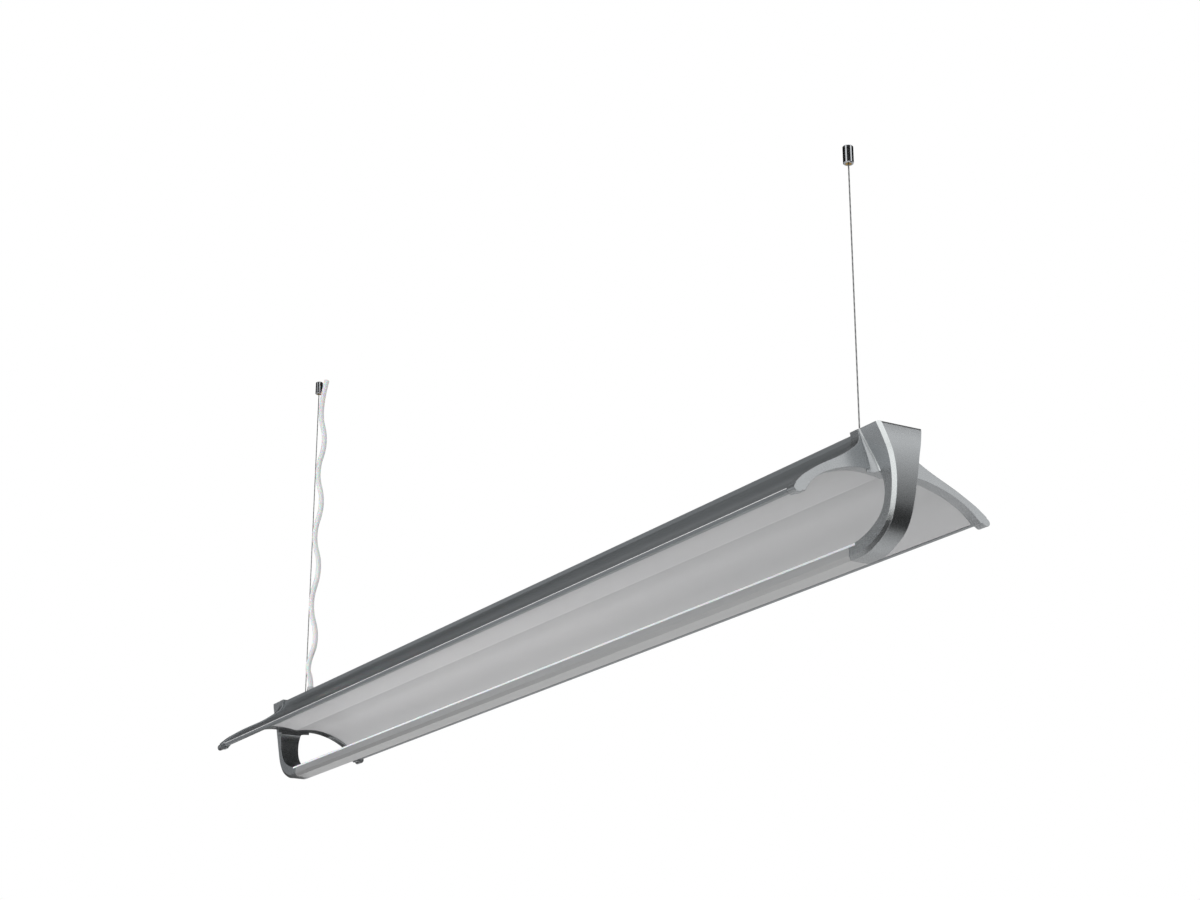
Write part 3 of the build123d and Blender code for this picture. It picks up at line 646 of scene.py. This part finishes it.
def flat_panel(name, size, place, facing, finish):
    """A flat rectangle whose front looks along facing."""
    shape = bmesh.new()
    bmesh.ops.create_grid(shape, x_segments=1, y_segments=1, size=0.5)
    bmesh.ops.scale(shape, vec=(size[0], size[1], 1.0), verts=shape.verts)
    turn = Vector(facing).to_track_quat("Z", "Y").to_matrix().to_4x4()
    bmesh.ops.transform(shape, matrix=Matrix.Translation(place) @ turn, verts=shape.verts)
    return stage_piece(name, shape, finish)


def pale_floor_paint():
    material, shader = new_material("pale_floor_paint")
    cloud = two_tone(material, grain(material, 400), "#F0F0F0", "#F6F6F6")
    material.node_tree.links.new(cloud, shader.inputs["Base Color"])
    shader.inputs["Roughness"].default_value = 0.8
    return material


build_world()
flat_panel("studio_floor", (14.0, 14.0), (LAMP_MIDDLE_X, 0.0, FLOOR_Z), UP, pale_floor_paint())


# %% Cards that the metal mirrors
def only_glossy(piece):
    """Hides a stage piece from every ray but the glossy ones."""
    piece.visible_camera = False
    piece.visible_diffuse = False
    piece.visible_shadow = False
    piece.visible_transmission = False


def graded_card(name, size, place, facing, low, high, climb=UP):
    """A glowing card whose tone climbs from low to high.

    Each of the two is a distance along climb, in metres, and a hex.
    """
    material, shader = new_material(name + "_paper")
    links = material.node_tree.links
    along = add_node(
        material, "ShaderNodeVectorMath", {"Vector": object_point(material)}, operation="DOT_PRODUCT"
    )
    along.inputs[1].default_value = climb
    climbed = add_node(material, "ShaderNodeMapRange", {"Value": along.outputs["Value"]})
    climbed.inputs["From Min"].default_value = low[0]
    climbed.inputs["From Max"].default_value = high[0]
    colour = two_tone(material, climbed.outputs["Result"], low[1], high[1])
    glow = add_node(material, "ShaderNodeEmission", {"Color": colour})
    output = material.node_tree.nodes["Material Output"]
    links.new(glow.outputs["Emission"], output.inputs["Surface"])
    material.node_tree.nodes.remove(shader)
    only_glossy(flat_panel(name, size, place, facing, material))


def plain_card(name, size, place, facing, tone):
    """A card of one tone, graded from that tone to itself."""
    graded_card(name, size, place, facing, (-9.0, tone), (9.0, tone))


# In front of the near arm: black at the floor, pale above and towards the lamp
graded_card(
    "near_flag",
    (2.0, 2.1),
    (2.75, 1.2, -0.44),
    NEAR_FLAG_FACING,
    (-1.20, BLACK),
    (0.50, "#E8E8E8"),
)
graded_card(
    "near_flag_foot",
    (2.4, 1.4),
    (1.75, 0.95, FLOOR_CARD_Z),
    UP,
    (-1.70, "#0C0C0C"),
    (-1.00, "#E0E0E0"),
    NEAR_FLAG_FACING,
)

# Beyond the far end, where the long flank's reflection ends
graded_card(
    "far_wall",
    (7.0, 1.1),
    (-1.6, -1.0, -0.05),
    TO_NEAR_END,
    (0.3, "#343536"),
    (1.2, "#C4C6C8"),
    TO_NEAR_SIDE,
)
graded_card(
    "far_low_wall",
    (4.9, 0.85),
    (-1.6, -2.05, -1.03),
    TO_NEAR_END,
    (0.3, "#343536"),
    (1.0, "#8C8C8C"),
    TO_NEAR_SIDE,
)
graded_card("high_wall", (7.0, 4.5), (-1.6, 0.0, 2.75), TO_NEAR_END, (0.5, "#4C4D4E"), (0.8, "#727374"))

# Beside, below and above the lamp
plain_card("side_low_card", (2.2, 0.75), (1.2, -2.2, -1.12), TO_FAR_SIDE, "#181818")
plain_card("side_floor_card", (2.0, 1.0), (0.6, -1.75, FLOOR_CARD_Z), UP, "#181818")
plain_card("floor_card", (2.6, 0.9), (-1.2, -0.5, FLOOR_CARD_Z), UP, "#A4A4A4")
plain_card("top_flag", (1.3, 0.7), (1.1, 0.95, 0.75), (-0.1, -0.62, -0.78), "#404040")

# Small flags close to the far arm, which keep its hollow side dark
plain_card("far_low_flag", (0.09, 0.11), (-0.15, 0.02, -0.525), TO_NEAR_END, "#3A3A3A")
plain_card("far_arm_flag", (0.05, 0.055), (0.02, 0.025, -0.4835), TO_FAR_END, "#161616")
plain_card("far_arm_roof", (0.06, 0.08), (-0.025, 0.02, -0.4585), DOWN, "#3A3A3A")


# %% Rings that the grippers mirror
RING_RADIUS = 0.6
RING_HEIGHT = 0.12


def dark_ring(name, middle, gaps):
    """A wide black ring over the lamp, open where gaps, in degrees, say."""
    material, shader = new_material(name + "_paper")
    shader.inputs["Base Color"].default_value = linear(BLACK)
    shader.inputs["Roughness"].default_value = 0.9
    shape = bmesh.new()
    rim = bmesh.ops.create_circle(shape, segments=180, radius=RING_RADIUS)["verts"]
    rim_edges = list({edge for vert in rim for edge in vert.link_edges})
    walls = bmesh.ops.extrude_edge_only(shape, edges=rim_edges)
    raised = [item for item in walls["geom"] if isinstance(item, bmesh.types.BMVert)]
    bmesh.ops.translate(shape, verts=raised, vec=(0.0, 0.0, RING_HEIGHT))
    open_faces = []
    for face in shape.faces:
        spot = face.calc_center_median()
        turn = math.degrees(math.atan2(spot.y, spot.x))
        if any(start < turn < stop for start, stop in gaps):
            open_faces.append(face)
    bmesh.ops.delete(shape, geom=open_faces, context="FACES")
    bmesh.ops.translate(shape, verts=shape.verts, vec=middle)
    only_glossy(stage_piece(name, shape, material))


dark_ring("near_gripper_ring", (1.14, 0.0, 0.08), ((-95, -66), (15, 46)))
dark_ring("far_gripper_ring", (0.0, 0.0, 0.15), ((-99, -81), (-30, 7)))


# %% Lamps
def soft_lamp(name, place, target, size, power, colour=(1.0, 1.0, 1.0)):
    """A square area lamp that only lights; mirrors don't show it."""
    data = bpy.data.lights.new(name, "AREA")
    data.shape = "SQUARE"
    data.size = size
    data.energy = power
    data.color = colour
    lamp = bpy.data.objects.new(name, data)
    bpy.context.scene.collection.objects.link(lamp)
    lamp.location = place
    lamp.rotation_euler = (Vector(target) - Vector(place)).to_track_quat("-Z", "Y").to_euler()
    lamp.visible_camera = False
    lamp.visible_glossy = False


soft_lamp("key_from_above", (1.6, -0.6, 1.6), (0.57, 0.0, -0.47), 1.6, 24)
soft_lamp("fill_from_below", (0.2, -1.0, -1.3), (0.35, 0.0, -0.47), 1.2, 19, (1.0, 0.955, 0.965))

# %% Finish
bpy.context.scene.view_settings.view_transform = "Standard"
